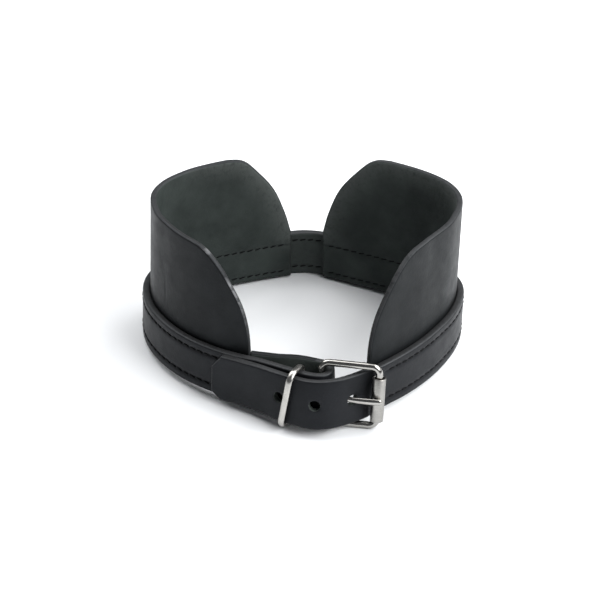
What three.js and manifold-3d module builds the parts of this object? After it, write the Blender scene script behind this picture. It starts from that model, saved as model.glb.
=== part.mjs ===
// Leather choker with two tall side panels, a roller buckle and a wire keeper.
// It stands by itself on its lower edge. Millimetres, +Z up, the buckle faces -Y.
//
// The strap is one long strip. It starts behind the buckle as a turned-back end, folds round the
// buckle's heel bar, goes round the neck and comes back through the buckle as the billet.
// "along" is a length on the strap's middle line, "out" a distance from that line away from the
// neck, and "high" a height above the strap's lower edge.

import * as THREE from 'three';
import { mergeVertices } from 'three/addons/utils/BufferGeometryUtils.js';
import Module from 'manifold-3d';

const wasm = await Module();
wasm.setup();

// Driving dimensions
const STRAP = { width: 20, thick: 3, corner: 0.8 };
const PANEL = { height: 62, thick: 2.4, corner: 0.7, foot: 0.8 };
const WIRE = { radius: 1.4 };
const FRAME = { apart: 22.4, height: 24.66, bend: 3.1 };
const ROLLER = { radius: 2.6, bore: 1.9, length: 18.2, drop: 1 };
const PRONG = { width: 2.6, thick: 2.0, drop: 0.5, pastBar: 2.2, point: 0.5 };
const EYE = { wall: 1.4, from: 75, to: 350 };

// The prong's middle line between its eye and the roller: along the buckle and out of its plane
const PRONG_ROWS = [
  { along: -6.5, out: 2.4 },
  { along: -2, out: 3.7 },
  { along: 4, out: 4.2 },
];
const KEEPER = { depth: 12, height: 23.6, bend: 3, wide: 2.6, thick: 1.5 };
const HOLE = { radius: 2.1, first: 381.4, pitch: 14.5, count: 3 };
const FOLD_SLOT = { width: 4.4, behind: 1.5, ahead: 7, outer: 5.5, inner: 9 };
const GAP = 0.3;

// How the finished choker stands: its front rests on the buckle and the keeper, so the loop is
// tipped back a little, and the middle of its footprint is the origin.
const STAND = { tipDegrees: 1.77, x: 0.322, y: -2.392, z: 1.781 };

const MID = STRAP.width / 2;

// The fold round the heel bar, seen from above
const FOLD = { x: 5.9, y: -41.3, radius: 4.9, lean: 10 };

// The strap's middle line seen from above, halfway up the strap, a row for each section.
// "lean" is how many degrees the foot stands out, "lift" how far the section is raised.
const ROUTE_ROWS = [
  { x: -20.5, y: -30.1, lean: 3, lift: 0 },
  { x: -11.1, y: -32.4, lean: 6, lift: 0 },
  { x: -1.5, y: -34.2, lean: 9, lift: 0.2 },
  ...[90, 40, -10, -60, -110].map(foldRow),
  { x: -7.6, y: -40.5, lean: 7, lift: 0 },
  { x: -17.1, y: -35.4, lean: 4, lift: 0 },
  { x: -25.5, y: -31.9, lean: 2, lift: 0 },
  { x: -33.8, y: -28.0, lean: 3, lift: 0 },
  { x: -45.7, y: -19.3, lean: 3.2, lift: 0 },
  { x: -55.6, y: -7.5, lean: 3, lift: 0 },
  { x: -61.6, y: 5.5, lean: 2.2, lift: 0 },
  { x: -63.1, y: 19.0, lean: 1.8, lift: 0 },
  { x: -59.8, y: 29.5, lean: 2.4, lift: 0 },
  { x: -50.0, y: 39.3, lean: 2.4, lift: 0 },
  { x: -40.2, y: 44.9, lean: 2.4, lift: 0 },
  { x: -29.6, y: 49.0, lean: 2.2, lift: 0 },
  { x: -9.3, y: 55.5, lean: 1, lift: 0 },
  { x: 0.0, y: 57.0, lean: 0, lift: 0 },
  { x: 8.0, y: 55.8, lean: -0.5, lift: 0 },
  { x: 23.6, y: 49.0, lean: -1.5, lift: 0 },
  { x: 33.4, y: 44.4, lean: -2.2, lift: 0 },
  { x: 46.5, y: 37.3, lean: -2.2, lift: 0 },
  { x: 56.5, y: 29.5, lean: -1.7, lift: 0 },
  { x: 61.5, y: 21.0, lean: -1.5, lift: 0 },
  { x: 62.5, y: 12.5, lean: -1.5, lift: 0 },
  { x: 59.0, y: -1.1, lean: -1.1, lift: 0 },
  { x: 50.1, y: -16.8, lean: 0.8, lift: 0 },
  { x: 40.4, y: -28.4, lean: 1, lift: 0 },
  { x: 30.4, y: -37.4, lean: 0, lift: 0 },
  { x: 26.7, y: -40.4, lean: 0.8, lift: 0 },
  { x: 22.9, y: -43.5, lean: 8, lift: -0.1 },
  { x: 15.7, y: -48.0, lean: 9, lift: 0 },
  { x: 8.0, y: -50.6, lean: 13, lift: 0 },
  { x: 2.0, y: -50.2, lean: 13.5, lift: -0.1 },
  { x: -5.3, y: -47.2, lean: 12, lift: 0 },
  { x: -16.8, y: -40.3, lean: 5, lift: 0.3 },
  { x: -24.2, y: -36.0, lean: 3, lift: 0.1 },
  { x: -35.7, y: -30.7, lean: 3, lift: 0 },
];
const LOOP_CENTRE_Y = 8;

// Where the panels end along the strap
const LEFT_PANEL = { front: 73.4, back: 216.4 };
const RIGHT_PANEL = { back: 232.2, front: 371.0 };

// A panel's upper edge, as heights at distances in from its two ends
const FRONT_OUTLINE = [
  { inward: 0, high: 19.5 },
  { inward: 0.4, high: 25.6 },
  { inward: 1.2, high: 31.3 },
  { inward: 2.6, high: 37.0 },
  { inward: 4.6, high: 42.0 },
  { inward: 7.8, high: 47.2 },
  { inward: 12, high: 52.4 },
  { inward: 16.5, high: 56.8 },
  { inward: 21, high: 60.0 },
  { inward: 25.5, high: 61.6 },
  { inward: 30, high: 62.0 },
];
const BACK_OUTLINE = [
  { inward: 0, high: 23.0 },
  { inward: 0.7, high: 25.9 },
  { inward: 2.3, high: 31.8 },
  { inward: 5.7, high: 41.0 },
  { inward: 9.4, high: 47.5 },
  { inward: 15, high: 54.6 },
  { inward: 18.4, high: 58.4 },
  { inward: 20.6, high: 60.1 },
  { inward: 23.4, high: 61.3 },
  { inward: 28, high: 62.0 },
];

// The billet's tip: its two corners are cut off
const TIP = { along: 440.3, cut: 4, topDrop: 5.5, footRise: 3.2 };

// The buckle stands in the front of the loop: its middle, how far it is turned and leans, degrees
const BUCKLE_PLACE = { x: 17.44, y: -44.16, z: 10.4, turn: 7.7, lean: 10.85, roll: -1.45 };
const KEEPER_PLACE = { x: -4.65, y: -44.8, z: 10.05, turn: 25, lean: 10.2, roll: -6.4 };

const radians = THREE.MathUtils.degToRad;

function foldRow(angle) {
  return {
    x: FOLD.x + FOLD.radius * Math.cos(angle * Math.PI / 180),
    y: FOLD.y + FOLD.radius * Math.sin(angle * Math.PI / 180),
    lean: FOLD.lean,
    lift: 0,
  };
}

// The strap's middle line

const route = new THREE.CatmullRomCurve3(
  ROUTE_ROWS.map((row) => new THREE.Vector3(row.x, row.y, 0)), false, 'centripetal');
route.arcLengthDivisions = 2000;
const ROUTE_LENGTH = route.getLength();

function columnAt(t, column) {
  const place = Math.min(t * (ROUTE_ROWS.length - 1), ROUTE_ROWS.length - 1.0001);
  const row = Math.floor(place);
  const share = THREE.MathUtils.smoothstep(place - row, 0, 1);
  return THREE.MathUtils.lerp(ROUTE_ROWS[row][column], ROUTE_ROWS[row + 1][column], share);
}

// A point of the bent leather, from its length along, distance out and height
function onRoute(along, out, high) {
  const t = route.getUtoTmapping(THREE.MathUtils.clamp(along / ROUTE_LENGTH, 0, 1));
  const at = route.getPoint(t);
  const way = route.getTangent(t);
  const outward = new THREE.Vector3(-way.y, way.x, 0);
  const splay = new THREE.Vector3(at.x, at.y - LOOP_CENTRE_Y, 0).normalize();
  const lean = radians(columnAt(t, 'lean'));
  const rise = high - MID;
  const point = at.clone();
  point.addScaledVector(outward, out);
  point.addScaledVector(splay, -rise * Math.sin(lean));
  point.z = MID + rise * Math.cos(lean) + outward.dot(splay) * out * Math.sin(lean) + columnAt(t, 'lift');
  return point;
}

function leanAt(along) {
  return radians(columnAt(route.getUtoTmapping(Math.min(along / ROUTE_LENGTH, 1)), 'lean'));
}

// Stations along the line, closer together where it bends or twists or where an edge climbs
function stationsBetween(from, to, edges) {
  const walk = 0.25;
  const mostTurn = radians(9);
  const mostStep = 8;
  const mostClimb = 3;
  const stations = [from];
  let turned = 0;
  let climbed = 0;
  let way = route.getTangentAt(from / ROUTE_LENGTH);
  for (let along = from + walk; along < to - walk; along += walk) {
    const next = route.getTangentAt(Math.min(along / ROUTE_LENGTH, 1));
    turned += way.angleTo(next) + 2 * Math.abs(leanAt(along) - leanAt(along - walk));
    climbed += Math.max(...edges.map((edge) => Math.abs(edge(along) - edge(along - walk))));
    way = next;
    const stepped = along - stations[stations.length - 1];
    if (turned > mostTurn || climbed > mostClimb || stepped > mostStep) {
      stations.push(along);
      turned = 0;
      climbed = 0;
    }
  }
  stations.push(to);
  return stations;
}

// Solids

function closed(geometry) {
  geometry.deleteAttribute('normal');
  geometry.deleteAttribute('uv');
  return mergeVertices(geometry, 1e-4);
}

function signedVolume(geometry) {
  const place = geometry.attributes.position;
  const index = geometry.index;
  const [a, b, c] = [new THREE.Vector3(), new THREE.Vector3(), new THREE.Vector3()];
  let volume = 0;
  for (let i = 0; i < index.count; i += 3) {
    a.fromBufferAttribute(place, index.getX(i));
    b.fromBufferAttribute(place, index.getX(i + 1));
    c.fromBufferAttribute(place, index.getX(i + 2));
    volume += a.dot(b.cross(c)) / 6;
  }
  return volume;
}

function facesOut(geometry) {
  if (signedVolume(geometry) < 0) {
    const index = geometry.index;
    for (let i = 0; i < index.count; i += 3) {
      const second = index.getX(i + 1);
      index.setX(i + 1, index.getX(i + 2));
      index.setX(i + 2, second);
    }
  }
  return geometry;
}

function toManifold(geometry) {
  return new wasm.Manifold(new wasm.Mesh({
    numProp: 3,
    vertProperties: new Float32Array(geometry.attributes.position.array),
    triVerts: new Uint32Array(geometry.index.array),
  }));
}

function fromManifold(solid) {
  const mesh = solid.getMesh();
  const geometry = new THREE.BufferGeometry();
  geometry.setAttribute('position', new THREE.BufferAttribute(new Float32Array(mesh.vertProperties), 3));
  geometry.setIndex(new THREE.BufferAttribute(new Uint32Array(mesh.triVerts), 1));
  return geometry;
}

function cut(geometry, cutters) {
  let solid = toManifold(geometry);
  for (const cutter of cutters) {
    solid = solid.subtract(toManifold(cutter));
  }
  return fromManifold(solid);
}

// The cross-section of a leather sheet, with rounded edges
function sheetSection(thick, height, corner) {
  const half = thick / 2 - corner;
  const quarter = Math.PI / 2;
  const section = new THREE.Shape();
  section.absarc(-half, corner, corner, 2 * quarter, 3 * quarter);
  section.absarc(half, corner, corner, 3 * quarter, 4 * quarter);
  section.absarc(half, height - corner, corner, 0, quarter);
  section.absarc(-half, height - corner, corner, quarter, 2 * quarter);
  section.closePath();
  return section;
}

// A leather sheet bent along the strap's line, between a foot edge and a top edge
function bentSheet({ from, to, thick, corner, out, foot, top }) {
  const tall = 4 * corner;
  const stations = stationsBetween(from, to, [foot, top]);
  const steps = stations.length - 1;
  const sheet = closed(new THREE.ExtrudeGeometry(
    sheetSection(thick, tall, corner), { depth: 1, steps, bevelEnabled: false, curveSegments: 2 }));
  const place = sheet.attributes.position;
  for (let i = 0; i < place.count; i += 1) {
    const along = stations[Math.round(place.getZ(i) * steps)];
    const height = place.getY(i);
    const high = height > tall / 2 ? top(along) - (tall - height) : foot(along) + height;
    const point = onRoute(along, out + place.getX(i), high);
    place.setXYZ(i, point.x, point.y, point.z);
  }
  return facesOut(sheet);
}

// A closed ring of wire along a rounded rectangle in the XY plane
function wireRing({ wide, high, bend, halfAcross, halfThick, sides, steps }) {
  const [x, y] = [wide / 2, high / 2];
  const line = new THREE.Path();
  line.moveTo(x, 0);
  line.lineTo(x, y - bend);
  line.absarc(x - bend, y - bend, bend, 0, Math.PI / 2);
  line.lineTo(-x + bend, y);
  line.absarc(-x + bend, y - bend, bend, Math.PI / 2, Math.PI);
  line.lineTo(-x, -y + bend);
  line.absarc(-x + bend, -y + bend, bend, Math.PI, 1.5 * Math.PI);
  line.lineTo(x - bend, -y);
  line.absarc(x - bend, -y + bend, bend, 1.5 * Math.PI, 2 * Math.PI);
  line.lineTo(x, 0);
  const ring = new THREE.TorusGeometry(1, 0.5, sides, steps);
  const place = ring.attributes.position;
  for (let i = 0; i < place.count; i += 1) {
    const share = (i % (steps + 1)) / steps;
    const angle = Math.floor(i / (steps + 1)) / sides * 2 * Math.PI;
    const at = line.getPointAt(share % 1);
    const way = line.getTangentAt(share % 1);
    const inPlane = Math.cos(angle) * halfThick;
    place.setXYZ(i, at.x + way.y * inPlane, at.y - way.x * inPlane, Math.sin(angle) * halfAcross);
  }
  return facesOut(closed(ring));
}

// The metal pieces, each in a frame with X along the strap, Y up and Z outwards

function placed({ x, y, z, turn, lean, roll }) {
  const group = new THREE.Group();
  group.position.set(x, y, z);
  group.rotateZ(-radians(turn));
  group.rotateX(Math.PI / 2 - radians(lean));
  group.rotateZ(radians(roll));
  group.updateMatrix();
  return group;
}

function buckleFrameGeometry() {
  return wireRing({
    wide: FRAME.apart,
    high: FRAME.height,
    bend: FRAME.bend,
    halfAcross: WIRE.radius,
    halfThick: WIRE.radius,
    sides: 10,
    steps: 52,
  });
}

function rollerGeometry() {
  const half = ROLLER.length / 2;
  const profile = [
    new THREE.Vector2(ROLLER.bore, -half),
    new THREE.Vector2(ROLLER.radius, -half),
    new THREE.Vector2(ROLLER.radius, half),
    new THREE.Vector2(ROLLER.bore, half),
    new THREE.Vector2(ROLLER.bore, -half),
  ];
  const roller = new THREE.LatheGeometry(profile, 20);
  roller.translate(FRAME.apart / 2, -ROLLER.drop, 0);
  return facesOut(closed(roller));
}

// The prong seen along the heel bar: an eye round the bar and a shaft that ends on the roller.
// With room it is the space that the leather leaves for the prong.
function prongGeometry(room) {
  const heel = -FRAME.apart / 2;
  const bore = WIRE.radius + GAP;
  const eye = bore + EYE.wall + room;
  const half = PRONG.thick / 2 + room;
  const tip = FRAME.apart / 2 + PRONG.pastBar + room;
  const overRoller = ROLLER.radius + GAP + PRONG.thick / 2;
  const middle = PRONG_ROWS.map((row) => new THREE.Vector2(row.along, row.out));
  const over = new THREE.Vector2(FRAME.apart / 2, overRoller);
  const offset = (point, by) => new THREE.Vector2(point.x, point.y + by);
  const side = new THREE.Shape();
  side.absarc(heel, 0, eye, radians(EYE.from), radians(EYE.to));
  side.splineThru([...middle, over].map((point) => offset(point, -half)));
  side.lineTo(tip, overRoller - half);
  side.lineTo(tip + PRONG.point, overRoller);
  side.lineTo(tip, overRoller + half);
  side.lineTo(over.x, overRoller + half);
  side.splineThru([...middle].reverse().map((point) => offset(point, half)));
  side.closePath();
  if (room === 0) {
    const bar = new THREE.Path();
    bar.absarc(heel, 0, bore, 0, 2 * Math.PI, true);
    side.holes.push(bar);
  }
  const width = PRONG.width + 2 * room;
  const prong = new THREE.ExtrudeGeometry(side, { depth: width, bevelEnabled: false, curveSegments: 8 });
  prong.rotateX(Math.PI / 2);
  prong.translate(0, width / 2 - PRONG.drop, 0);
  return facesOut(closed(prong));
}

function keeperGeometry() {
  const ring = wireRing({
    wide: KEEPER.depth,
    high: KEEPER.height,
    bend: KEEPER.bend,
    halfAcross: KEEPER.wide / 2,
    halfThick: KEEPER.thick / 2,
    sides: 8,
    steps: 52,
  });
  ring.rotateY(-Math.PI / 2);
  return ring;
}

// The leather pieces

function holeCutter(along) {
  const cutter = new THREE.CylinderGeometry(HOLE.radius, HOLE.radius, 3 * STRAP.thick, 16);
  const inside = onRoute(along, -1, MID);
  const outside = onRoute(along, 1, MID);
  const turn = new THREE.Quaternion().setFromUnitVectors(
    new THREE.Vector3(0, 1, 0), outside.clone().sub(inside).normalize());
  cutter.applyQuaternion(turn);
  const middle = inside.lerp(outside, 0.5);
  cutter.translate(middle.x, middle.y, middle.z);
  return closed(cutter);
}

function foldSlotCutter(buckle) {
  const long = FOLD_SLOT.behind + FOLD_SLOT.ahead;
  const deep = FOLD_SLOT.outer + FOLD_SLOT.inner;
  const slot = new THREE.BoxGeometry(long, FOLD_SLOT.width, deep);
  slot.translate(
    -FRAME.apart / 2 - FOLD_SLOT.behind + long / 2, -PRONG.drop, FOLD_SLOT.outer - deep / 2);
  slot.applyMatrix4(buckle.matrix);
  return closed(slot);
}

function strapGeometry(buckle) {
  const cutStart = TIP.along - TIP.cut;
  const tipShare = (along) => THREE.MathUtils.clamp((along - cutStart) / TIP.cut, 0, 1);
  const sheet = bentSheet({
    from: 0,
    to: TIP.along,
    thick: STRAP.thick,
    corner: STRAP.corner,
    out: 0,
    foot: (along) => TIP.footRise * tipShare(along),
    top: (along) => STRAP.width - TIP.topDrop * tipShare(along),
  });
  const cutters = [foldSlotCutter(buckle), prongGeometry(GAP).applyMatrix4(buckle.matrix)];
  for (let i = 0; i < HOLE.count; i += 1) {
    cutters.push(holeCutter(HOLE.first + i * HOLE.pitch));
  }
  return cut(sheet, cutters);
}

function outlineHeight(rows) {
  const curve = new THREE.SplineCurve(rows.map((row) => new THREE.Vector2(row.inward, row.high)));
  const points = curve.getPoints(20 * rows.length);
  return (inward) => {
    const next = points.findIndex((point) => point.x > inward);
    if (next < 1) {
      return next === 0 ? rows[0].high : PANEL.height;
    }
    const [a, b] = [points[next - 1], points[next]];
    return THREE.MathUtils.mapLinear(inward, a.x, b.x, a.y, b.y);
  };
}

function panelGeometry({ front, back }) {
  const frontHeight = outlineHeight(FRONT_OUTLINE);
  const backHeight = outlineHeight(BACK_OUTLINE);
  return bentSheet({
    from: Math.min(front, back),
    to: Math.max(front, back),
    thick: PANEL.thick,
    corner: PANEL.corner,
    out: -(STRAP.thick / 2 + GAP + PANEL.thick / 2),
    foot: () => PANEL.foot,
    top: (along) => Math.min(frontHeight(Math.abs(along - front)), backHeight(Math.abs(along - back))),
  });
}

// Materials

function leather(color, roughness) {
  return new THREE.MeshStandardMaterial({ color, roughness, metalness: 0 });
}

function nickel() {
  return new THREE.MeshStandardMaterial({ color: 0xcfccc6, roughness: 0.18, metalness: 1 });
}

function piece(name, geometry, material) {
  geometry.computeVertexNormals();
  const mesh = new THREE.Mesh(geometry, material);
  mesh.name = name;
  return mesh;
}

// Assembly

const buckle = placed(BUCKLE_PLACE);
buckle.add(piece('buckle_frame', buckleFrameGeometry(), nickel()));
buckle.add(piece('buckle_roller', rollerGeometry(), nickel()));
buckle.add(piece('buckle_prong', prongGeometry(0), nickel()));

const keeper = placed(KEEPER_PLACE);
keeper.add(piece('keeper_ring', keeperGeometry(), nickel()));

const choker = new THREE.Group();
choker.add(piece('strap', strapGeometry(buckle), leather(0x2c2d30, 0.45)));
choker.add(piece('left_panel', panelGeometry(LEFT_PANEL), leather(0x303331, 0.5)));
choker.add(piece('right_panel', panelGeometry(RIGHT_PANEL), leather(0x303331, 0.5)));
choker.add(buckle);
choker.add(keeper);
choker.position.set(STAND.x, STAND.y, STAND.z);
choker.rotateX(-radians(STAND.tipDegrees));

const model = new THREE.Group();
model.add(choker);

export default model;
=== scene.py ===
# %% [markdown]
# # A leather choker with a roller buckle
#
# The choker is one long strap with two tall panels sewn inside it. A wire buckle with a roller and a
# wire keeper fasten it in front. It stands by itself on its lower edge.
#
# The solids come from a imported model. Each of them is replaced here by a finer piece of the same size,
# and each piece is made the way a workshop makes it: the leather is cut flat, its edges are rounded,
# its holes are punched, and only then is it bent round. The wire is bent along a line.

# %% Load the solids
import functools
import math

import bmesh
import bpy
from mathutils import Matrix, Vector


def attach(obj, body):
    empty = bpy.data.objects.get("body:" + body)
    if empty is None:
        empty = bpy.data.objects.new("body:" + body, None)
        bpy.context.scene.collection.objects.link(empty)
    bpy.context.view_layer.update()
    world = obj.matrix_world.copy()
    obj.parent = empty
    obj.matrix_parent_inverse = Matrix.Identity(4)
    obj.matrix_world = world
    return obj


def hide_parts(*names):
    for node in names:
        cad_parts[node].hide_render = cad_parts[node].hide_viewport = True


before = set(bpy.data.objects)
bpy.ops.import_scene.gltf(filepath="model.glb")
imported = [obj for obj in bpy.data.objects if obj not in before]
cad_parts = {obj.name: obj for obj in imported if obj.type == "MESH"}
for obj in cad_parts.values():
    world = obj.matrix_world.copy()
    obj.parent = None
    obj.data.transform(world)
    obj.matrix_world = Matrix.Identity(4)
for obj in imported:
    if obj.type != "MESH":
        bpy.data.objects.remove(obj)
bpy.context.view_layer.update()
scene = bpy.context.scene
MM = 0.001
print("nodes:", sorted(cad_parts))

# %% [markdown]
# ## Sizes
#
# Lengths are in millimetres here and become metres when a piece is made. "Along" is a length on the
# strap's middle line, "out" is a distance away from the neck, and "high" is a height on the strap.

# %% Sizes of the leather and the metal
STRAP = {"long": 440.3, "thick": 3.0, "tall": 20.0, "round": 0.75}
PANEL = {"thick": 2.4, "foot": 0.8, "height": 62.0, "round": 0.8, "gap": 0.05}
LEFT_PANEL = {"front": 72.9, "back": 216.9}
RIGHT_PANEL = {"back": 232.2, "front": 371.0}
TIP = {"cut": 4.0, "top_drop": 5.5, "foot_rise": 3.2}
HOLE = {"radius": 2.1, "first": 381.4, "pitch": 14.5, "count": 3, "soft": 0.3}
SLOT = {"from": 26.4, "to": 43.4, "low": 7.3, "top": 11.7}
FRAME = {"apart": 22.4, "height": 24.66, "bend": 3.1, "radius": 1.4}
ROLLER = {"radius": 2.6, "bore": 1.9, "length": 18.2, "drop": 1.0, "seam": 0.3, "round": 0.25}
PRONG = {"wide": 2.6, "thick": 2.0, "drop": 0.5, "eye": 2.45, "eye_share": 0.62}
KEEPER = {"depth": 12.0, "height": 23.6, "bend": 4.0, "wide": 2.6, "thick": 1.5}
STITCH = {"pitch": 3.4, "long": 2.45, "thick": 0.75, "fine": 0.5, "slant": 10,
          "low": 3.7, "top": 16.6, "from": 78.2, "count": 84}
GROOVE = {"half": 0.8, "depth": 0.42, "inside": 0.6, "pit": 0.2, "past": 2, "past_inside": 1}
STITCH_END = STITCH["from"] + STITCH["pitch"] * STITCH["count"]
STATION = STITCH["pitch"] / 4
ROWS = (STITCH["low"], STITCH["top"])
print("strap", STRAP["long"], "mm long,", STRAP["tall"], "mm wide")

# %% [markdown]
# ## The line that the leather follows
#
# A strap that is bent round keeps its length. So every row below is a point that the middle of the
# strap passes through, seen from above, with how far its foot stands out (degrees) and how far it is
# raised. A smooth curve runs through them, and a flat strap can be wrapped along it by arc length.

# %% Points on the strap's middle line
FOLD = {"x": 5.9, "y": -41.3, "radius": 4.9, "lean": 10.0}


def fold_row(angle):
    turn = math.radians(angle)
    return (FOLD["x"] + FOLD["radius"] * math.cos(turn),
            FOLD["y"] + FOLD["radius"] * math.sin(turn), FOLD["lean"], 0.0)


ROUTE = [
    (-20.5, -30.1, 3, 0), (-11.1, -32.4, 6, 0), (-1.5, -34.2, 9, 0.2),
    *[fold_row(angle) for angle in (90, 40, -10, -60, -110)],
    (-7.6, -40.5, 7, 0), (-17.1, -35.4, 4, 0), (-25.5, -31.9, 2, 0), (-33.8, -28.0, 3, 0),
    (-45.7, -19.3, 3.2, 0), (-55.6, -7.5, 3, 0), (-61.6, 5.5, 2.2, 0), (-63.1, 19.0, 1.8, 0),
    (-59.8, 29.5, 2.4, 0), (-50.0, 39.3, 2.4, 0), (-40.2, 44.9, 2.4, 0), (-29.6, 49.0, 2.2, 0),
    (-9.3, 55.5, 1, 0), (0.0, 57.0, 0, 0), (8.0, 55.8, -0.5, 0), (23.6, 49.0, -1.5, 0),
    (33.4, 44.4, -2.2, 0), (46.5, 37.3, -2.2, 0), (56.5, 29.5, -1.7, 0), (61.5, 21.0, -1.5, 0),
    (62.5, 12.5, -1.5, 0), (59.0, -1.1, -1.1, 0), (50.1, -16.8, 0.8, 0), (40.4, -28.4, 1, 0),
    (30.4, -37.4, 0, 0), (26.7, -40.4, 0.8, 0), (22.9, -43.5, 8, -0.1), (15.7, -48.0, 9, 0),
    (8.0, -50.6, 13, 0), (2.0, -50.2, 13.5, -0.1), (-5.3, -47.2, 12, 0), (-16.8, -40.3, 5, 0.3),
    (-24.2, -36.0, 3, 0.1), (-35.7, -30.7, 3, 0),
]
LOOP_CENTRE = Vector((0.0, 8.0))
MIDDLE = STRAP["tall"] / 2
LAST_PLACE = len(ROUTE) - 1.0001
print("rows on the line:", len(ROUTE))


# %% The curve through the points
def curve_point(share):
    """The point and the direction at a share of the line's rows, on a centripetal curve."""
    place = min(max(share, 0.0), 1.0) * (len(ROUTE) - 1)
    row = min(int(place), len(ROUTE) - 2)
    w = place - row
    spots = [Vector(r[:2]) for r in ROUTE]
    p1, p2 = spots[row], spots[row + 1]
    p0 = spots[row - 1] if row else 2 * p1 - p2
    p3 = spots[row + 2] if row + 2 < len(spots) else 2 * p2 - p1
    d0, d1, d2 = (math.sqrt((b - a).length) for a, b in ((p0, p1), (p1, p2), (p2, p3)))
    t1 = ((p1 - p0) / d0 - (p2 - p0) / (d0 + d1) + (p2 - p1) / d1) * d1
    t2 = ((p2 - p1) / d1 - (p3 - p1) / (d1 + d2) + (p3 - p2) / d2) * d1
    c2 = 3 * (p2 - p1) - 2 * t1 - t2
    c3 = 2 * (p1 - p2) + t1 + t2
    return p1 + t1 * w + c2 * w * w + c3 * w ** 3, t1 + 2 * c2 * w + 3 * c3 * w * w


SHARES = 2000
walk = [curve_point(k / SHARES)[0] for k in range(SHARES + 1)]
walked = [0.0]
for before, after in zip(walk, walk[1:]):
    walked.append(walked[-1] + (after - before).length)
print("length of the line:", round(walked[-1], 1), "mm")


# %% From a flat length to a place on the bent strap
@functools.lru_cache(maxsize=None)
def station(along):
    """Where the line is at this length, its outward and splay directions, its lean and its lift."""
    low, high = 0, SHARES
    while high - low > 1:
        half = (low + high) // 2
        low, high = (half, high) if walked[half] <= along else (low, half)
    share = (low + (along - walked[low]) / (walked[high] - walked[low])) / SHARES
    spot, way = curve_point(share)
    way.normalize()
    place = min(share * (len(ROUTE) - 1), LAST_PLACE)
    row = int(place)
    w = (place - row) ** 2 * (3 - 2 * (place - row))
    lean, lift = (ROUTE[row][k] * (1 - w) + ROUTE[row + 1][k] * w for k in (2, 3))
    return spot, Vector((-way.y, way.x)), (spot - LOOP_CENTRE).normalized(), math.radians(lean), lift


def on_route(along, out, high):
    """A point of the bent leather, in millimetres, before the choker is stood up."""
    spot, outward, splay, lean, lift = station(round(along, 4))
    rise = high - MIDDLE
    flat = spot + outward * out - splay * rise * math.sin(lean)
    level = MIDDLE + rise * math.cos(lean) + outward.dot(splay) * out * math.sin(lean) + lift
    return Vector((flat.x, flat.y, level))


# %% [markdown]
# ## How it stands
#
# The buckle and the keeper are taller than the strap. They lift the front of the loop, so the whole
# choker is tipped back by less than two degrees. One matrix does that for every piece.

# %% The matrix that stands the choker up
TIPPED_BACK = math.radians(-1.77)
SET_DOWN = Vector((0.322, -2.392, 1.781)) * MM
STAND = Matrix.Translation(SET_DOWN) @ Matrix.Rotation(TIPPED_BACK, 4, "X")


def metal_place(x, y, z, turn, lean, roll):
    """The place of a wire piece: X along the strap, Y up and Z away from the neck."""
    return (STAND @ Matrix.Translation(Vector((x, y, z)) * MM)
            @ Matrix.Rotation(-math.radians(turn), 4, "Z")
            @ Matrix.Rotation(math.radians(90 - lean), 4, "X")
            @ Matrix.Rotation(math.radians(roll), 4, "Z"))


BUCKLE_PLACE = metal_place(x=17.44, y=-44.16, z=10.4, turn=7.7, lean=10.85, roll=-1.45)
KEEPER_PLACE = metal_place(x=-4.65, y=-44.8, z=10.05, turn=25, lean=10.2, roll=-6.4)
print("the buckle's middle is at", [round(v, 4) for v in BUCKLE_PLACE.translation])

# %% [markdown]
# ## Choosing what a tool acts on
#
# Blender's edit tools act on whatever is selected. In a script nobody clicks, so the faces, edges and
# corners are chosen by a rule about their place, and everything else is deselected first.


# %% Helpers for edit mode
SAME_PLACE = 1e-6
SAME_LEVEL = 1e-7


def pick(*pieces):
    """Selects these pieces alone and makes the first one active."""
    bpy.ops.object.select_all(action="DESELECT")
    for piece in pieces:
        piece.select_set(True)
    bpy.context.view_layer.objects.active = pieces[0]


def begin(piece):
    """Goes into edit mode on one piece, with nothing selected."""
    pick(piece)
    bpy.ops.object.mode_set(mode="EDIT")
    bpy.ops.mesh.select_all(action="DESELECT")


def choose(piece, kind, rule):
    """Selects the corners (VERT), edges (EDGE) or faces (FACE) that obey the rule."""
    bpy.ops.mesh.select_mode(type=kind)
    bpy.ops.mesh.select_all(action="DESELECT")
    shape = bmesh.from_edit_mesh(piece.data)
    parts = {"VERT": shape.verts, "EDGE": shape.edges, "FACE": shape.faces}[kind]
    for part in parts:
        if rule(part):
            part.select_set(True)
    bmesh.update_edit_mesh(piece.data)


def close_wire():
    """Merges the doubled corners of a wire and points its faces outwards."""
    bpy.ops.mesh.select_all(action="SELECT")
    bpy.ops.mesh.remove_doubles(threshold=SAME_PLACE)
    bpy.ops.mesh.normals_make_consistent(inside=False)


def done():
    bpy.ops.object.mode_set(mode="OBJECT")


def knife(point, normal, throw_away=False):
    """One straight cut through the whole piece. What lies on the normal's side can be thrown away."""
    bpy.ops.mesh.select_all(action="SELECT")
    bpy.ops.mesh.bisect(plane_co=Vector(point) * MM, plane_no=Vector(normal).normalized(),
                        use_fill=throw_away, clear_outer=throw_away, threshold=SAME_PLACE)


# %% [markdown]
# ## Finishes
#
# Black leather is never one flat black. The dyed grain side has a fine pebble and a soft shine that
# changes from place to place. The strap's cut edges are painted and burnished, so they are smoother and
# catch narrow highlights, and the panels' edges are only dyed. The flesh side is matt with short fibres,
# and painted paler along the panels' upper rims as painted light. All of them are mixed from noise that
# is read in the object's own space, so nothing slides when the camera moves. How much paler a place is
# painted, for real wear, painted highlights and painted light, is kept at each corner of the mesh, while
# the leather is still flat.


# %% A helper for building a material
def material(name, **values):
    """An empty material with one shader, whose plain values are set here."""
    made = bpy.data.materials.new(name)
    made.use_nodes = True
    shader = made.node_tree.nodes["Principled BSDF"]
    for socket, value in values.items():
        shader.inputs[socket.replace("_", " ")].default_value = value
    return made, made.node_tree, shader


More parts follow.
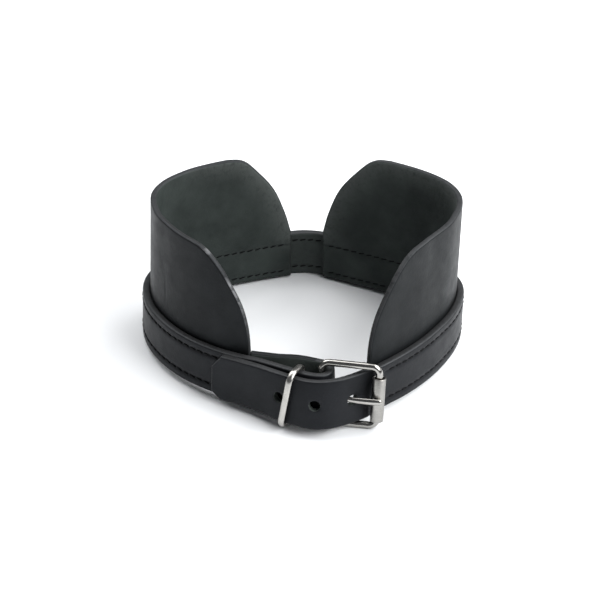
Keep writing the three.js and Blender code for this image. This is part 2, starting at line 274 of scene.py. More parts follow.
def noise(tree, scale, detail=4.0, rough=0.55, kind="ShaderNodeTexNoise", stretch=None):
    """A noise pattern in the object's own space, its scale in waves per metre."""
    place = tree.nodes.new("ShaderNodeTexCoord")
    pattern = tree.nodes.new(kind)
    pattern.inputs["Scale"].default_value = scale
    if kind == "ShaderNodeTexNoise":
        pattern.inputs["Detail"].default_value = detail
        pattern.inputs["Roughness"].default_value = rough
    if stretch:
        mapping = tree.nodes.new("ShaderNodeMapping")
        mapping.inputs["Scale"].default_value = stretch
        tree.links.new(place.outputs["Object"], mapping.inputs["Vector"])
        tree.links.new(mapping.outputs["Vector"], pattern.inputs["Vector"])
    else:
        tree.links.new(place.outputs["Object"], pattern.inputs["Vector"])
    return pattern.outputs[0]


def ramp(tree, source, stops):
    """Turns a 0 to 1 pattern into colours or greys at the given stops."""
    node = tree.nodes.new("ShaderNodeValToRGB")
    while len(node.color_ramp.elements) < len(stops):
        node.color_ramp.elements.new(0.5)
    for element, (place, colour) in zip(node.color_ramp.elements, stops):
        element.position = place
        element.color = (*colour, 1.0) if hasattr(colour, "__len__") else (colour, colour, colour, 1.0)
    tree.links.new(source, node.inputs["Fac"])
    return node.outputs["Color"]


def bump(tree, shader, heights):
    """Chains several height patterns, each with its depth in millimetres, into the shader's normal."""
    last = None
    for source, depth in heights:
        node = tree.nodes.new("ShaderNodeBump")
        node.inputs["Distance"].default_value = depth * MM
        tree.links.new(source, node.inputs["Height"])
        if last:
            tree.links.new(last, node.inputs["Normal"])
        last = node.outputs["Normal"]
    tree.links.new(last, shader.inputs["Normal"])


# %% The leather's finishes
COOL_SHINE = (0.88, 0.94, 1.0, 1.0)
CREASE_DEPTH = 0.05
PEBBLE_DEPTH = 0.03


def leather(name, dark, light, rough, pebble, specular):
    """Dyed leather: a cloudy colour, an uneven shine and a pebbled surface."""
    made, tree, shader = material(name, Specular_IOR_Level=specular, Specular_Tint=COOL_SHINE)
    clouds = noise(tree, scale=55, detail=5)
    tree.links.new(ramp(tree, clouds, [(0.3, dark), (0.7, light)]), shader.inputs["Base Color"])
    patches = noise(tree, scale=160, detail=6, rough=0.6)
    shine = ramp(tree, patches, [(0.3, rough - 0.06), (0.7, rough + 0.08)])
    tree.links.new(shine, shader.inputs["Roughness"])
    cells = noise(tree, scale=1500, kind="ShaderNodeTexVoronoi")
    creases = noise(tree, scale=420, detail=6, rough=0.65)
    bump(tree, shader, [(creases, CREASE_DEPTH * pebble), (cells, PEBBLE_DEPTH * pebble)])
    return made


strap_leather = leather("strap leather", dark=(0.0040, 0.0042, 0.0050), light=(0.0080, 0.0083, 0.0099),
                        rough=0.46, pebble=1.0, specular=0.20)
panel_leather = leather("panel leather", dark=(0.0040, 0.0045, 0.0048), light=(0.0080, 0.0090, 0.0096),
                        rough=0.47, pebble=0.8, specular=0.15)
flesh_side = leather("flesh side", dark=(0.0175, 0.0220, 0.0202), light=(0.037, 0.0447, 0.0414),
                     rough=0.62, pebble=1.6, specular=0.16)
edge_paint = leather("edge paint", dark=(0.0115, 0.0119, 0.0124), light=(0.0220, 0.0224, 0.0231),
                     rough=0.46, pebble=0.8, specular=0.27)
plain_edge = leather("plain edge", dark=(0.0060, 0.0064, 0.0067), light=(0.0120, 0.0126, 0.0132),
                     rough=0.50, pebble=0.8, specular=0.18)
panel_edge = leather("panel edge", dark=(0.0108, 0.0114, 0.0120), light=(0.0208, 0.0218, 0.0228),
                     rough=0.50, pebble=0.8, specular=0.22)
thread = leather("waxed thread", dark=(0.001, 0.001, 0.001), light=(0.003, 0.003, 0.0032),
                 rough=0.55, pebble=0.6, specular=0.12)


# %% Places that are rubbed
SPECKLED = (0.34, 0.52)
EVEN = (0.1, 0.5)


def paint_wear_and_light(made, lighter_colour, blend_range):
    """Mixes in a lighter colour as far as each corner's number says, for real wear, painted highlights
    and painted light.
    """
    tree = made.node_tree
    socket = tree.nodes["Principled BSDF"].inputs["Base Color"]
    painted = socket.links[0].from_socket
    kept = tree.nodes.new("ShaderNodeAttribute")
    kept.attribute_name = "wear_and_painted_light"
    start, end = blend_range
    speckles = ramp(tree, noise(tree, scale=520, detail=5, rough=0.6), [(start, 0.0), (end, 1.0)])
    amount = tree.nodes.new("ShaderNodeMath")
    amount.operation = "MULTIPLY"
    tree.links.new(kept.outputs["Fac"], amount.inputs[0])
    tree.links.new(speckles, amount.inputs[1])
    blend = tree.nodes.new("ShaderNodeMixRGB")
    blend.inputs["Color2"].default_value = (*lighter_colour, 1)
    tree.links.new(amount.outputs[0], blend.inputs["Fac"])
    tree.links.new(painted, blend.inputs["Color1"])
    tree.links.new(blend.outputs["Color"], socket)


# The strap's edges get real speckled wear. The panel edges' lighter colour is a painted highlight over a
# little real wear, and the flesh side's is painted light along its upper rim.
paint_wear_and_light(edge_paint, (0.09, 0.092, 0.095), SPECKLED)
paint_wear_and_light(panel_edge, (0.15, 0.152, 0.157), SPECKLED)
paint_wear_and_light(flesh_side, (0.15, 0.162, 0.156), EVEN)
finishes = (strap_leather, panel_leather, flesh_side, edge_paint, plain_edge, panel_edge, thread)
print("leather finishes:", [finish.name for finish in finishes])


# %% The nickel finish
DARK_NICKEL = (0.38, 0.372, 0.352)
LIGHT_NICKEL = (0.46, 0.447, 0.423)
MARK_DEPTH = 0.010
PIT_DEPTH = 0.006


def nickel(name, rough, painted_shade_factor):
    """Polished nickel plate: a warm grey metal with faint polishing marks and small pits. A factor below
    1 paints shade into its colour.
    """
    made, tree, shader = material(name, Metallic=1.0)
    dark, light = (tuple(value * painted_shade_factor for value in colour) for colour in (DARK_NICKEL, LIGHT_NICKEL))
    tint = noise(tree, scale=300, detail=3)
    tree.links.new(ramp(tree, tint, [(0.3, dark), (0.7, light)]), shader.inputs["Base Color"])
    marks = noise(tree, scale=260, detail=5, rough=0.6, stretch=(1, 1, 8))
    tree.links.new(ramp(tree, marks, [(0.35, rough), (0.7, rough + 0.10)]), shader.inputs["Roughness"])
    pits = noise(tree, scale=900, detail=6, rough=0.7)
    bump(tree, shader, [(marks, MARK_DEPTH), (pits, PIT_DEPTH)])
    return made


# The wire and the roller are the same nickel as the keeper, painted darker (0.86 and 0.8) as painted
# shade.
wire_nickel = nickel("nickel wire", rough=0.12, painted_shade_factor=0.86)
roller_nickel_painted_darker = nickel("roller nickel", rough=0.26, painted_shade_factor=0.8)
satin_nickel = nickel("satin nickel", rough=0.26, painted_shade_factor=1.0)
print("metal finishes:", [finish.name for finish in (wire_nickel, roller_nickel_painted_darker, satin_nickel)])

# %% [markdown]
# ## A flat piece of leather
#
# Leather is cut from a flat hide. So a blank starts as one slab, its outline is cut with straight
# strokes of a knife, and every edge is rounded. Then it is sliced across into short stations, because
# a mesh only bends where it has edges.


# %% Cutting a flat blank
def slab(name, start, end, thick, low, tall):
    """A plain slab lying along X, standing on its edge, with its middle plane at Y = 0."""
    middle = Vector(((start + end) / 2, 0, low + tall / 2)) * MM
    bpy.ops.mesh.primitive_cube_add(size=1, location=middle)
    piece = bpy.context.object
    piece.name = name
    piece.scale = Vector((end - start, thick, tall)) * MM
    bpy.ops.object.transform_apply(location=True, rotation=True, scale=True)
    return piece


def round_edges(piece, thick, radius):
    """Rounds each edge between a face of the leather and its cut side."""
    face = thick / 2 * MM
    choose(piece, "EDGE", lambda edge: all(abs(abs(v.co.y) - face) < SAME_LEVEL for v in edge.verts)
           and edge.verts[0].co.y * edge.verts[1].co.y > 0)
    bpy.ops.mesh.bevel(offset=radius * MM, segments=5, profile=0.5, affect="EDGES", clamp_overlap=False)


def slice_along(start, end, step):
    """Cuts the blank across at even stations."""
    count = max(1, round((end - start) / step))
    for k in range(1, count):
        knife((start + (end - start) * k / count, 0, 0), (1, 0, 0))


def slice_level(heights):
    """Cuts the blank lengthways at these heights."""
    for height in heights:
        knife((0, 0, height), (0, 0, 1))


def bend(piece, lay_out=0.0):
    """Wraps the flat piece along the line, moved out by lay_out, and stands it up."""
    for corner in piece.data.vertices:
        along, out, high = corner.co / MM
        corner.co = STAND @ (on_route(along, out + lay_out, high) * MM)
    piece.data.update()


# %% [markdown]
# ## The strap
#
# The strap is 3 mm thick. Its tip has two cut corners. The stitches lie in a groove that is pressed
# into the leather first, so they don't stand proud and rub through. On the inside the groove is
# shallower, and it has small pits where the awl came through. So the stations are a quarter of a
# stitch apart. The strap is sliced lengthways too, at the grooves, at the holes and a few times between.

# %% Cut the strap
strap = slab("strap_leather", 0, STRAP["long"], STRAP["thick"], 0, STRAP["tall"])
begin(strap)
tip_start = STRAP["long"] - TIP["cut"]
knife((tip_start, 0, STRAP["tall"]), (TIP["top_drop"], 0, TIP["cut"]), throw_away=True)
knife((tip_start, 0, 0), (TIP["foot_rise"], 0, -TIP["cut"]), throw_away=True)
round_edges(strap, STRAP["thick"], STRAP["round"])
slice_along(0, STRAP["long"], STATION)
groove_levels = [*ROWS, *[row + side * GROOVE["half"] * reach
                          for row in ROWS for side in (-1, 1) for reach in (1, 0.5)]]
slice_level(groove_levels)
hole_levels = [MIDDLE + HOLE["radius"] * share for share in (-1, -0.5, 0, 0.5, 1)]
levels_between = [1.9, 5.9, SLOT["low"], *hole_levels, 12.9, 14.4, 18.2]
slice_level(levels_between)
done()
print("strap blank:", len(strap.data.polygons), "faces")


# %% Pressing a groove
CLOSE = 0.01
NEAR_FACE = 0.41
AWL = 0.2
GROOVE_SHAPE = [
    # share of the half width, share of the depth
    (0.0, 1.0), (0.5, 0.62),
]


def press_groove(piece, face, level, start, end):
    """Pushes a face of the leather in along a stitch line. The inside gets a shallow groove with pits."""
    inner = face < 0
    inward = -math.copysign(MM * (GROOVE["inside"] if inner else 1), face)

    def on_line(v, reach):
        return (abs(abs(v.co.z / MM - level) - reach * GROOVE["half"]) < CLOSE
                and start < v.co.x / MM < end and abs(v.co.y / MM - face) < NEAR_FACE)

    def at_awl_hole(v):
        past = (v.co.x / MM - STITCH["from"] + AWL) % STITCH["pitch"] - AWL
        return on_line(v, 0) and abs(past) < AWL

    for reach, share in GROOVE_SHAPE:
        choose(piece, "VERT", lambda v: on_line(v, reach))
        bpy.ops.transform.translate(value=(0, GROOVE["depth"] * share * inward, 0))
    if inner:
        choose(piece, "VERT", at_awl_hole)
        bpy.ops.transform.translate(value=(0, GROOVE["pit"] * inward, 0))


begin(strap)
for level in ROWS:
    press_groove(strap, STRAP["thick"] / 2, level, STITCH["from"] - GROOVE["past"],
                 STITCH_END + GROOVE["past"])
    press_groove(strap, -STRAP["thick"] / 2, level, LEFT_PANEL["back"], RIGHT_PANEL["back"])
print("grooves end at", round(STITCH_END, 1), "mm along")


# %% Punching holes
FLAT = 0.9
STEEP = 0.4


def open_patch(piece, inside, snap):
    """Takes out the faces of a patch on both sides, moves its rim by a rule and joins the two rims."""
    choose(piece, "FACE", inside)
    bpy.ops.mesh.region_to_loop()
    shape = bmesh.from_edit_mesh(piece.data)
    for corner in [v for v in shape.verts if v.select]:
        snap(corner.co)
    bmesh.update_edit_mesh(piece.data)
    choose(piece, "FACE", inside)
    bpy.ops.mesh.delete(type="FACE")
    choose(piece, "EDGE", lambda edge: edge.is_boundary)
    bpy.ops.mesh.bridge_edge_loops()


def punch(piece, along, high, radius):
    """A round hole through the leather."""
    def inside(face):
        middle = face.calc_center_median() / MM
        return (abs(face.normal.y) > FLAT and abs(middle.x - along) < radius
                and abs(middle.z - high) < radius)

    def snap(place):
        arm = Vector((place.x / MM - along, place.z / MM - high)).normalized() * radius
        place.x, place.z = (along + arm.x) * MM, (high + arm.y) * MM

    open_patch(piece, inside, snap)


def in_slot(face):
    middle = face.calc_center_median() / MM
    return (abs(face.normal.y) > FLAT and SLOT["from"] < middle.x < SLOT["to"]
            and SLOT["low"] < middle.z < SLOT["top"])


def slot_rim(place):
    """Keeps the slot's long sides straight and rounds its two ends."""
    half = (SLOT["top"] - SLOT["low"]) / 2
    middle = (SLOT["top"] + SLOT["low"]) / 2
    side = place.z / MM - middle
    for end, sign in ((SLOT["from"] + half, -1), (SLOT["to"] - half, 1)):
        past = (place.x / MM - end) * sign
        if past > 0:
            arm = Vector((past, side)).normalized() * half
            place.x, place.z = (end + sign * arm.x) * MM, (middle + arm.y) * MM


for k in range(HOLE["count"]):
    punch(strap, HOLE["first"] + k * HOLE["pitch"], MIDDLE, HOLE["radius"])
open_patch(strap, in_slot, slot_rim)
print("holes punched:", HOLE["count"], "and a slot for the prong")


# %% Soften the rims of the holes
HOLE_BAND = {"low": 6.5, "top": 13.5}


def in_hole_band(place):
    return HOLE_BAND["low"] < place.z < HOLE_BAND["top"]


def is_rim(edge):
    """An edge between a face of the leather and the wall of a hole."""
    middle = (edge.verts[0].co + edge.verts[1].co) / 2 / MM
    if not in_hole_band(middle) or len(edge.link_faces) != 2:
        return False
    flats = [abs(face.normal.y) for face in edge.link_faces]
    return max(flats) > FLAT and min(flats) < STEEP


choose(strap, "EDGE", is_rim)
bpy.ops.mesh.bevel(offset=HOLE["soft"] * MM, segments=2, profile=0.5, affect="EDGES")
bpy.ops.mesh.select_all(action="SELECT")
bpy.ops.mesh.normals_make_consistent(inside=False)
done()
print("strap:", len(strap.data.polygons), "faces")


# %% Give each side its finish, bend the strap and stand it up
GRAIN_SLOT, FLESH_SLOT, EDGE_SLOT, PLAIN_SLOT = range(4)
SIDE_LIMIT = 0.75
TILES_PER_METRE = 10
SMOOTH_UP_TO = math.radians(50)
STRAP_WEAR = 0.12


def dress(piece, grain, flesh, edge):
    """Grain outside, flesh inside and finished edges, chosen while the leather is still flat."""
    for finish in (grain, flesh, edge):
        piece.data.materials.append(finish)
    for face in piece.data.polygons:
        face.material_index = (GRAIN_SLOT if face.normal.y > SIDE_LIMIT
                               else FLESH_SLOT if face.normal.y < -SIDE_LIMIT else EDGE_SLOT)
    sheet = piece.data.uv_layers.active or piece.data.uv_layers.new(name="flat")
    for corner in piece.data.loops:
        place = piece.data.vertices[corner.vertex_index].co
        sheet.data[corner.index].uv = (place.x * TILES_PER_METRE, place.z * TILES_PER_METRE)


def keep(piece, node):
    """Smooths the piece, puts it under the root body and hides the solid that it stands for."""
    pick(piece)
    bpy.ops.object.shade_smooth_by_angle(angle=SMOOTH_UP_TO)
    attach(piece, "root")
    if node:
        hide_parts(node)
    triangles = sum(len(face.vertices) - 2 for face in piece.data.polygons)
    print(piece.name, "-", triangles, "triangles,", [round(v / MM, 1) for v in piece.dimensions], "mm")


def mark_wear_and_painted_light(piece, rule):
    """Keeps how much paler each corner is painted, for wear, painted highlights and painted light: 0
    none, 1 full. The rule gets flat places.
    """
    pale_marks = piece.data.attributes.new("wear_and_painted_light", "FLOAT", "POINT")
    for corner, mark in zip(piece.data.vertices, pale_marks.data):
        mark.value = rule(*(corner.co / MM))


def between(value, start, stop, soft):
    """1 between start and stop, fading to 0 over the soft length."""
    return max(0.0, min(1.0, (value - start) / soft + 1, (stop - value) / soft + 1))


dress(strap, strap_leather, flesh_side, edge_paint)
strap.data.materials.append(plain_edge)
cut_end = 5
for face in strap.data.polygons:
    middle = face.center / MM
    in_a_hole = in_hole_band(middle) and cut_end < middle.x < STRAP["long"] - cut_end
    if face.material_index == EDGE_SLOT and in_a_hole:
        face.material_index = FLESH_SLOT
    elif face.material_index == EDGE_SLOT and middle.x < SLOT["from"]:
        face.material_index = PLAIN_SLOT
mark_wear_and_painted_light(strap, lambda along, out, high: STRAP_WEAR)
bend(strap)
keep(strap, "strap")

# %% [markdown]
# ## The two panels
#
# A panel is cut from thinner leather, along a pattern. The tables give the pattern's upper edge as
# heights at distances in from the two ends. A round outline is cut with many short straight strokes,
# and the rounding of the edges hides the corners between them. A sewn panel lies tight on the strap.
# The left panel has a small crease in its outer face, and part of its front edge has a painted highlight.

# %% The panel pattern
FRONT_OUTLINE = [(0, 19.5), (0.4, 25.6), (1.2, 31.3), (2.6, 37.0), (4.6, 42.0), (7.8, 47.2),
                 (12, 52.4), (16.5, 56.8), (21, 60.0), (25.5, 61.6), (30, 62.0)]
BACK_OUTLINE = [(0, 23.0), (0.7, 25.9), (2.3, 31.8), (5.7, 41.0), (9.4, 47.5), (15, 54.6),
                (18.4, 58.4), (20.6, 60.1), (23.4, 61.3), (28, 62.0)]


def smooth_outline(rows, strokes=3):
    """Points on a smooth curve through the rows, a few for each row."""
    spots = [Vector(row) for row in rows]
    spots = [2 * spots[0] - spots[1], *spots, 2 * spots[-1] - spots[-2]]
    points = []
    for k in range(1, len(spots) - 2):
        a, b, c, d = spots[k - 1:k + 3]
        for step in range(strokes):
            w = step / strokes
            points.append(0.5 * (2 * b + (c - a) * w + (2 * a - 5 * b + 4 * c - d) * w * w
                                 + (3 * b - a - 3 * c + d) * w ** 3))
    return [*points, spots[-2]]


LEAST_TURN = 0.015


def turn_at(before, corner, after):
    """The sine of the angle that a line turns through at a corner. Clockwise is negative."""
    return (corner - before).normalized().cross((after - corner).normalized())


def without_hollows(points):
    """Drops the points where the outline hardly turns or would turn inwards, which a stroke can't do."""
    kept = []
    for point in points:
        while len(kept) > 1 and turn_at(kept[-2], kept[-1], point) > -LEAST_TURN:
            kept.pop()
        kept.append(point)
    return kept


def trim_end(end, inward_way, rows):
    """Cuts one end of a panel to its outline, stroke by stroke."""
    points = without_hollows(smooth_outline(rows))
    for before, after in zip(points, points[1:]):
        stroke = after - before
        knife((end + inward_way * before.x, 0, before.y), (-inward_way * stroke.y, 0, stroke.x),
              throw_away=True)


# %% Cut, groove and bend a panel
PANEL_LEVELS = (7, 10, 13, *range(20, 61, 4))
CREASE = {"along": 118.5, "low": 29, "top": 35, "deep": 0.3}
OUTER_FACE = 0.49 * PANEL["thick"]
INNER_FACE = -0.45 * PANEL["thick"]


def in_crease(v):
    """The corners of the panel's outer face that the crease goes through."""
    return (abs(v.co.x / MM - CREASE["along"]) < STATION / 2
            and CREASE["low"] < v.co.z / MM < CREASE["top"] and v.co.y / MM > OUTER_FACE)


def make_panel(name, node, front, back, rule, creased=False):
    """Makes one panel of leather, from the slab to the finished piece on the strap."""
    start, end = min(front, back), max(front, back)
    inward_way = 1 if front < back else -1
    panel = slab(name, start, end, PANEL["thick"], PANEL["foot"], PANEL["height"] - PANEL["foot"])
    begin(panel)
    trim_end(front, inward_way, FRONT_OUTLINE)
    trim_end(back, -inward_way, BACK_OUTLINE)
    round_edges(panel, PANEL["thick"], PANEL["round"])
    first = STITCH["from"] - STATION * math.floor((STITCH["from"] - start) / STATION)
    for k in range(math.floor((end - start) / STATION) + 1):
        knife((first + k * STATION, 0, 0), (1, 0, 0))
    slice_level([*groove_levels, *PANEL_LEVELS])
    for level in ROWS:
        press_groove(panel, -PANEL["thick"] / 2, level,
                     max(start, STITCH["from"] - GROOVE["past_inside"]),
                     min(end, STITCH_END + GROOVE["past_inside"]))
    if creased:
        choose(panel, "VERT", in_crease)
        bpy.ops.transform.translate(value=(0, -CREASE["deep"] * MM, 0))
    done()
    dress(panel, panel_leather, flesh_side, panel_edge)
    mark_wear_and_painted_light(panel, rule)
    bend(panel, -(STRAP["thick"] / 2 + PANEL["gap"] + PANEL["thick"] / 2))
    keep(panel, node)


# %% [markdown]
# ## Wear, painted highlights and painted light on the panels
#
# The left panel's front edge gets a painted highlight, most of all at 48 mm, and its upper corner too.
# Every panel edge has a little real wear. The flesh side is painted paler along its upper rim, as painted
# light. Each rule gives a number for a place on the flat leather, 0 for none and 1 for the full lighter
# colour. "Out" is counted from the middle of the leather here.

# %% How much each place is painted paler, for a little wear, painted highlights and painted light
BACK_RIM = smooth_outline(BACK_OUTLINE)
# Painted light on the flesh side, palest at its upper rim.
PAINTED_RIM_LIGHT = {"most": 0.5, "band": 14, "soft": 25, "left_reach": 28, "right_reach": 85}
# A painted highlight on the left panel's front edge, over a little real wear.
FRONT_EDGE_HIGHLIGHT = {"until": 100, "starts": 27, "full": 48, "least": 0.03}
UPRIGHT_PART = {"start": 30, "stop": 49, "soft": 3}
OUTER_PART = {"start": 0.3, "stop": 0.9, "soft": 1.0}
# A painted highlight along the left panel's edges at its upper corner.
CORNER_PART = {"start": 59.6, "stop": 60.4, "soft": 0.6}
CORNER_HIGHLIGHT = 0.7
# A faint painted highlight on the right panel's edges near its upper rim.
RIGHT_RIM = {"start": 40, "stop": 58, "soft": 6}
RIGHT_RIM_HIGHLIGHT = 0.1
HARDLY_WORN = 0.04


def painted_light_on_rim(inward, high, reach):
    """How much painted light the flesh side gets, this far in from the back end. It is painted palest at
    its upper rim.
    """
    spot = Vector((inward, high))
    near = min(PANEL["height"] - high, *[(spot - point).length for point in BACK_RIM])
    fade = max(0.0, 1 - near / PAINTED_RIM_LIGHT["band"]) ** 2
    return PAINTED_RIM_LIGHT["most"] * fade * between(inward, start=0, stop=reach, soft=PAINTED_RIM_LIGHT["soft"])


def left_wear_and_painted_light(along, out, high):
    """A little wear everywhere, a painted highlight on the front edge, most at 48 mm and at its upper
    corner and less on its inner side, and painted light on the flesh side's rim.
    """
    if out < INNER_FACE:
        return painted_light_on_rim(LEFT_PANEL["back"] - along, high, PAINTED_RIM_LIGHT["left_reach"])
    if along > FRONT_EDGE_HIGHLIGHT["until"]:
        return HARDLY_WORN
    rising = (high - FRONT_EDGE_HIGHLIGHT["starts"]) / (FRONT_EDGE_HIGHLIGHT["full"] - FRONT_EDGE_HIGHLIGHT["starts"])
    upright = min(rising, between(high, **UPRIGHT_PART))
    outer = between(out, **OUTER_PART)
    corner = between(high, **CORNER_PART)
    return max(FRONT_EDGE_HIGHLIGHT["least"], upright * outer, CORNER_HIGHLIGHT * corner)


def right_wear_and_painted_light(along, out, high):
    """The right panel is almost new, with a faint painted highlight on its edges near its upper rim and
    painted light on its flesh side's rim.
    """
    if out < INNER_FACE:
        return painted_light_on_rim(along - RIGHT_PANEL["back"], high, PAINTED_RIM_LIGHT["right_reach"])
    return HARDLY_WORN + RIGHT_RIM_HIGHLIGHT * between(high, **RIGHT_RIM)


# %% Make both panels
make_panel("left_panel_leather", "left_panel", **LEFT_PANEL, rule=left_wear_and_painted_light, creased=True)
make_panel("right_panel_leather", "right_panel", **RIGHT_PANEL, rule=right_wear_and_painted_light)

# %% [markdown]
# ## The stitches
#
# Two rows of waxed thread go through the strap and the panels. One stitch is modelled, with both ends
# diving into the leather, and an Array modifier repeats it along a straight row. The row is then bent
# along the same line as the leather, so it lies in its groove.


# %% A row of stitches
STRAIGHT = 0.62
DIVE = [
    # share of the stitch's length, drop in millimetres, share of the thickness
    (0.13, 0.10, 0.92), (0.10, 0.30, 0.70),
]
ASIDE = 0.05


def one_stitch(along, level, face, way, thick):
    """A short thick thread that lies on the leather, with its ends turned down into it."""
    long = STITCH["long"] * MM
    straight = long * STRAIGHT
    middle = Vector((along + STITCH["pitch"] / 2, face, level)) * MM
    bpy.ops.mesh.primitive_cylinder_add(vertices=8, radius=thick / 2 * MM, depth=straight,
                                        location=middle, rotation=(0, math.pi / 2, 0))
    stitch = bpy.context.object
    bpy.ops.object.transform_apply(location=True, rotation=True, scale=True)
    begin(stitch)
    for side in (-1, 1):
        choose(stitch, "FACE", lambda f: f.normal.x * side > FLAT)
        tip = middle + Vector((side * straight / 2, 0, 0))
        for reach, drop, share in DIVE:
            step = (side * reach * long, -way * drop * MM, side * ASIDE * MM)
            bpy.ops.mesh.extrude_region_move(TRANSFORM_OT_translate={"value": step})
            bpy.ops.transform.resize(value=(1, share, share), center_override=tip)
    bpy.ops.mesh.select_all(action="SELECT")
    bpy.ops.transform.rotate(value=math.radians(STITCH["slant"]), orient_axis="Y", center_override=middle)
    done()
    return stitch


def stitch_row(start, count, level, face, way, thick):
    """Repeats the stitch and bends the row along the strap."""
    row = one_stitch(start, level, face, way, thick)
    repeat = row.modifiers.new("repeat", "ARRAY")
    repeat.count = count
    repeat.use_relative_offset = False
    repeat.use_constant_offset = True
    repeat.constant_offset_displace = (STITCH["pitch"] * MM, 0, 0)
    bpy.ops.object.modifier_apply(modifier=repeat.name)
    bend(row)
    row.data.materials.append(thread)
    return row


def join(name, pieces):
    """Makes one piece of several, each with its own mesh until now."""
    pick(*pieces)
    bpy.ops.object.join()
    pieces[0].name = name
    return pieces[0]


# %% Stitches on the outside
OUTWARDS = 1
INWARDS = -1
SUNK = 0.12
BED = GROOVE["depth"] - STITCH["thick"] / 2 + SUNK
outer_face = STRAP["thick"] / 2 - BED
outside = [stitch_row(STITCH["from"], STITCH["count"], level, outer_face, OUTWARDS, STITCH["thick"])
           for level in ROWS]
keep(join("outside_stitches", outside), None)


# %% Stitches on the inside
def awl_hole_after(along):
    """The first awl hole after this length."""
    return STITCH["from"] + STITCH["pitch"] * math.ceil((along - STITCH["from"]) / STITCH["pitch"])


FINE_BED = GROOVE["depth"] * GROOVE["inside"] - STITCH["fine"] / 2 + SUNK
panel_face = -(STRAP["thick"] / 2 + PANEL["gap"] + PANEL["thick"]) + FINE_BED
strap_face = -STRAP["thick"] / 2 + FINE_BED
just_past = 0.1
inside = []
for start, end, face in ((LEFT_PANEL["front"], LEFT_PANEL["back"], panel_face),
                         (LEFT_PANEL["back"], RIGHT_PANEL["back"], strap_face),
                         (RIGHT_PANEL["back"], STITCH_END + just_past, panel_face)):
    first = max(STITCH["from"], awl_hole_after(start))
    count = math.floor((end - first) / STITCH["pitch"])
    inside += [stitch_row(first, count, level, face, INWARDS, STITCH["fine"]) for level in ROWS]
keep(join("inside_stitches", inside), None)

# %% [markdown]
# ## The buckle and the keeper
#
# Both are wire bent round a rounded rectangle. A plane gives the rectangle, a bevel of its corners
# gives the bends, and its outline becomes a curve with a round section. The keeper's wire is flatter,
# so the finished ring is widened.


# %% Wire rings
def wire_ring(name, wide, high, bend_radius, radius, flat=1.0):
    """A closed wire along a rounded rectangle in the XY plane."""
    bpy.ops.mesh.primitive_plane_add(size=1, location=(0, 0, 0))
    ring = bpy.context.object
    ring.name = name
    ring.scale = (wide * MM, high * MM, 1)
    bpy.ops.object.transform_apply(location=True, rotation=True, scale=True)
    begin(ring)
    bpy.ops.mesh.select_all(action="SELECT")
    bpy.ops.mesh.bevel(offset=bend_radius * MM, segments=10, profile=0.5, affect="VERTICES")
    bpy.ops.mesh.select_all(action="SELECT")
    bpy.ops.mesh.delete(type="ONLY_FACE")
    done()
    bpy.ops.object.convert(target="CURVE")
    ring.data.bevel_depth = radius * MM
    ring.data.bevel_resolution = 6
    bpy.ops.object.convert(target="MESH")
    begin(ring)
    close_wire()
    bpy.ops.transform.resize(value=(1, 1, flat), center_override=(0, 0, 0))
    done()
    ring.data.materials.append(wire_nickel)
    return ring


buckle_frame = wire_ring("buckle_frame_wire", FRAME["apart"], FRAME["height"], FRAME["bend"],
                         FRAME["radius"])
buckle_frame.data.transform(BUCKLE_PLACE)
keep(buckle_frame, "buckle_frame")

keeper = wire_ring("keeper_wire", KEEPER["depth"], KEEPER["height"], KEEPER["bend"], KEEPER["thick"] / 2,
                   KEEPER["wide"] / KEEPER["thick"])
keeper.data.materials[0] = satin_nickel
keeper.data.transform(KEEPER_PLACE @ Matrix.Rotation(-math.pi / 2, 4, "Y"))
keep(keeper, "keeper_ring")

# %% [markdown]
# ## The roller
#
# The roller is a strip of sheet metal rolled into a tube. It turns on the far bar, so the strap slides
# through easily. The tube gets a wall, rounded ends and the shallow seam where the sheet meets.

# %% Roll the tube
bpy.ops.mesh.primitive_cylinder_add(vertices=64, radius=ROLLER["radius"] * MM,
                                    depth=ROLLER["length"] * MM, end_fill_type="NOTHING",
                                    location=(0, 0, 0), rotation=(math.pi / 2, 0, 0))
roller = bpy.context.object
roller.name = "buckle_roller_tube"
bpy.ops.object.transform_apply(location=True, rotation=True, scale=True)
begin(roller)
lowest_line = -0.999 * ROLLER["radius"] * MM
choose(roller, "EDGE", lambda e: all(v.co.z < lowest_line for v in e.verts))
bpy.ops.transform.translate(value=(0, 0, ROLLER["seam"] * MM))
done()
sheet_thick = (ROLLER["radius"] - ROLLER["bore"]) * MM
wall = roller.modifiers.new("wall", "SOLIDIFY")
wall.thickness = sheet_thick
wall.offset = -1
bpy.ops.object.modifier_apply(modifier=wall.name)

# %% Round its ends and put it on the far bar
begin(roller)
half_long = ROLLER["length"] / 2 * MM
choose(roller, "EDGE", lambda e: all(abs(abs(v.co.y) - half_long) < SAME_LEVEL for v in e.verts)
       and abs(e.verts[0].co.xz.length - e.verts[1].co.xz.length) < sheet_thick / 2)
bpy.ops.mesh.bevel(offset=ROLLER["round"] * MM, segments=3, profile=0.5, affect="EDGES")
done()
far_bar = Vector((FRAME["apart"] / 2, -ROLLER["drop"], 0)) * MM
roller.data.transform(BUCKLE_PLACE @ Matrix.Translation(far_bar))
roller.data.materials.append(roller_nickel_painted_darker)
keep(roller, "buckle_roller")

# %% [markdown]
# ## The prong
#
# The prong is a flattened wire. One end is curled round the heel bar, the shaft goes through the slot
# and the first hole, and its tip rests on the roller. A curve gives the line, and the radius at each
# point gives the taper.

# %% The prong's line
def eye_row(angle):
    """A row of the eye, which goes round the heel bar."""
    turn = math.radians(angle)
    return (-FRAME["apart"] / 2 + PRONG["eye"] * math.cos(turn), PRONG["eye"] * math.sin(turn),
            PRONG["eye_share"])


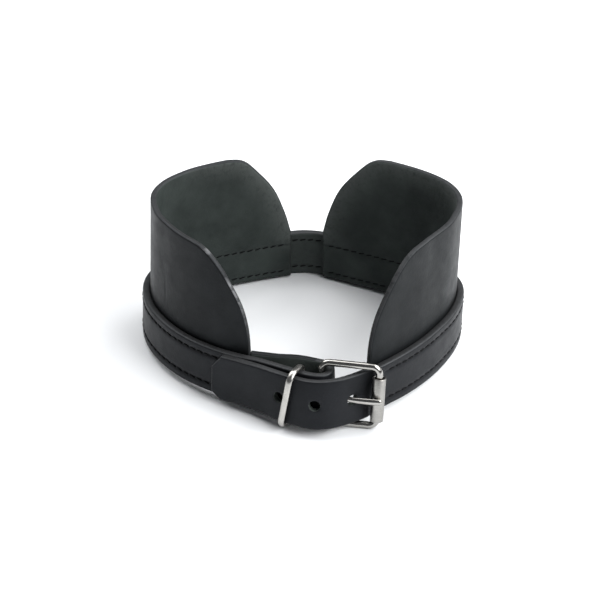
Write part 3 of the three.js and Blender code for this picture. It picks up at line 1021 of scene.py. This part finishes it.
PRONG_LINE = [
    # along the strap, out from the neck, share of the full thickness
    *[eye_row(angle) for angle in (-20, -60, -100, -140, -180, -220, -255)],
    (-9.4, 2.35, 0.66), (-6.5, 2.7, 0.75), (-2.0, 3.6, 0.82), (1.0, 4.0, 0.85), (4.0, 4.15, 0.93),
    (7.0, 4.15, 1.0), (10.2, 3.95, 1.0), (12.0, 3.8, 0.92), (12.8, 3.7, 0.75), (13.2, 3.65, 0.35),
]
print("rows on the prong's line:", len(PRONG_LINE))

# %% Bend the prong
line = bpy.data.curves.new("prong line", "CURVE")
line.dimensions = "3D"
line.bevel_depth = PRONG["thick"] / 2 * MM
line.bevel_resolution = 6
line.use_fill_caps = True
spline = line.splines.new("NURBS")
spline.points.add(len(PRONG_LINE) - 1)
for point, (along, out, share) in zip(spline.points, PRONG_LINE):
    point.co = (along * MM, 0, out * MM, 1)
    point.radius = share
spline.order_u = 3
spline.use_endpoint_u = True
spline.resolution_u = 6
prong = bpy.data.objects.new("buckle_prong_wire", line)
scene.collection.objects.link(prong)
pick(prong)
bpy.ops.object.convert(target="MESH")
prong = bpy.context.object
begin(prong)
close_wire()
bpy.ops.transform.resize(value=(1, PRONG["wide"] / PRONG["thick"], 1), center_override=(0, 0, 0))
done()
prong.data.transform(BUCKLE_PLACE @ Matrix.Translation(Vector((0, -PRONG["drop"], 0)) * MM))
prong.data.materials.append(wire_nickel)
keep(prong, "buckle_prong")

# %% [markdown]
# ## The floor, the light and the camera
#
# The choker stands on a white table. Two softboxes on the right are the strongest, so the shadow falls
# to the left, and the front of the room is dark, which gives the polished wire its dark middle line.
# The camera looks down from the front.

# %% Floor
bpy.ops.mesh.primitive_plane_add(size=6, location=(0, 0, 0))
table = bpy.context.object
table.name = "table"
table_paint = material("white table", Roughness=0.6, Base_Color=(0.885, 0.9, 0.915, 1))[0]
table.data.materials.append(table_paint)

# %% Light
CHOKER_MIDDLE = Vector((0, 0, 0.03))


def soft_light(name, place, size, power):
    """A square softbox that faces the choker."""
    bpy.ops.object.light_add(type="AREA", location=place)
    lamp = bpy.context.object
    lamp.name = name
    lamp.data.size = size
    lamp.data.energy = power
    lamp.rotation_euler = (CHOKER_MIDDLE - Vector(place)).to_track_quat("-Z", "Y").to_euler()


soft_light("right front softbox", place=(0.95, -0.5, 0.95), size=1.0, power=25)
soft_light("right back softbox", place=(0.95, 0.45, 0.95), size=1.0, power=15)
soft_light("left back softbox", place=(-0.7, 0.6, 1.1), size=1.0, power=13)
soft_light("overhead softbox", place=(0.1, 0.5, 1.25), size=0.9, power=7)

# %% Room
DARK_ROOM = (0.125, 0.128, 0.135, 1)
world = bpy.data.worlds.new("studio")
world.use_nodes = True
world.node_tree.nodes["Background"].inputs["Color"].default_value = DARK_ROOM
scene.world = world
scene.view_settings.view_transform = "Standard"

# %% Camera
CAMERA = {"place": (-0.00106, -0.81301, 0.6103), "tilt": 54.23, "lens": 151.98, "sensor": 36}
bpy.ops.object.camera_add(location=CAMERA["place"], rotation=(math.radians(CAMERA["tilt"]), 0, 0))
camera = bpy.context.object
camera.data.lens = CAMERA["lens"]
camera.data.sensor_width = CAMERA["sensor"]
scene.camera = camera
print("camera", CAMERA["lens"], "mm, looking down")
